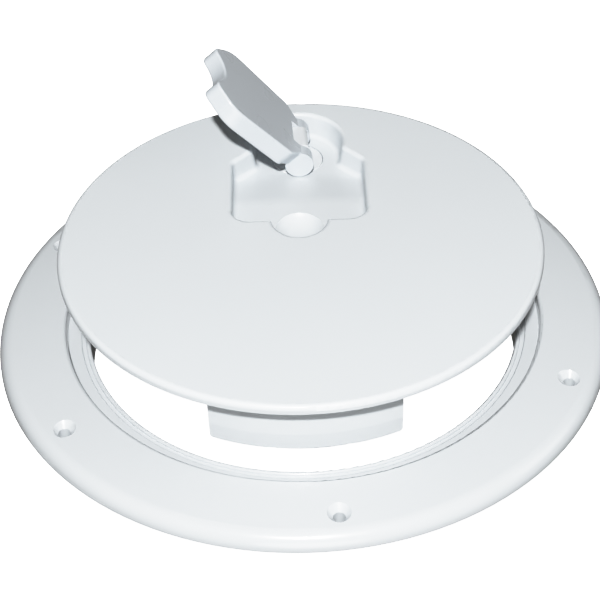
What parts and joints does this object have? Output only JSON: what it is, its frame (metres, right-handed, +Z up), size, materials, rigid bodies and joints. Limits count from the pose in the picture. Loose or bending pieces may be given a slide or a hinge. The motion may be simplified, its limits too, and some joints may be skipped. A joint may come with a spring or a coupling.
{
  "type": "deck inspection plate",
  "caption": "Round white deck inspection plate: screw-down ring with collar, sealed lift-out lid with a tongue, and a folding lever that turns a cam latch in a recess.",
  "frame": {"origin": "centre of the opening, on the ring's underside, which lies on the deck", "axes": "+Z up out of the deck, +Y towards the latch, -Y towards the lid's tongue"},
  "size_m": [0.288, 0.288, 0.1154],
  "materials": {
    "ring_plastic": "glossy white moulding",
    "lid_plastic": "glossy white moulding",
    "latch_plastic": "glossy white moulding",
    "lever_plastic": "glossy white moulding",
    "cam_plastic": "plain white moulding",
    "lid_seal_rubber": "matt",
    "o_ring_rubber": "matt",
    "pin_steel": "ground",
    "washer_steel": "stamped",
    "screw_steel": "plain"
  },
  "bodies": {
    "ring": {"deck_ring": "ring_plastic"},
    "lid_plate": {"lid": "lid_plastic", "lid_seal": "lid_seal_rubber"},
    "latch": {"latch_spindle": "latch_plastic", "spindle_o_ring": "o_ring_rubber", "latch_cam": "cam_plastic", "cam_washer": "washer_steel", "cam_screw": "screw_steel"},
    "lever": {"latch_lever": "lever_plastic", "hinge_pin": "pin_steel"}
  },
  "joints": [
    {"name": "lid_lift", "type": "slide", "parent": "ring", "child": "lid_plate", "axis": [0, 0, 1], "range_m": [-0.043, 0.05]},
    {"name": "latch_turn", "type": "hinge", "parent": "lid_plate", "child": "latch", "pos_m": [0, 0.0776, 0.0476], "axis": [0, 0, 1], "range_deg": [-3, 87]},
    {"name": "lever_lift", "type": "hinge", "parent": "latch", "child": "lever", "pos_m": [0, 0.0776, 0.0476], "axis": [-0.0523, 0.9986, 0], "range_deg": [-4, 46]}
  ]
}
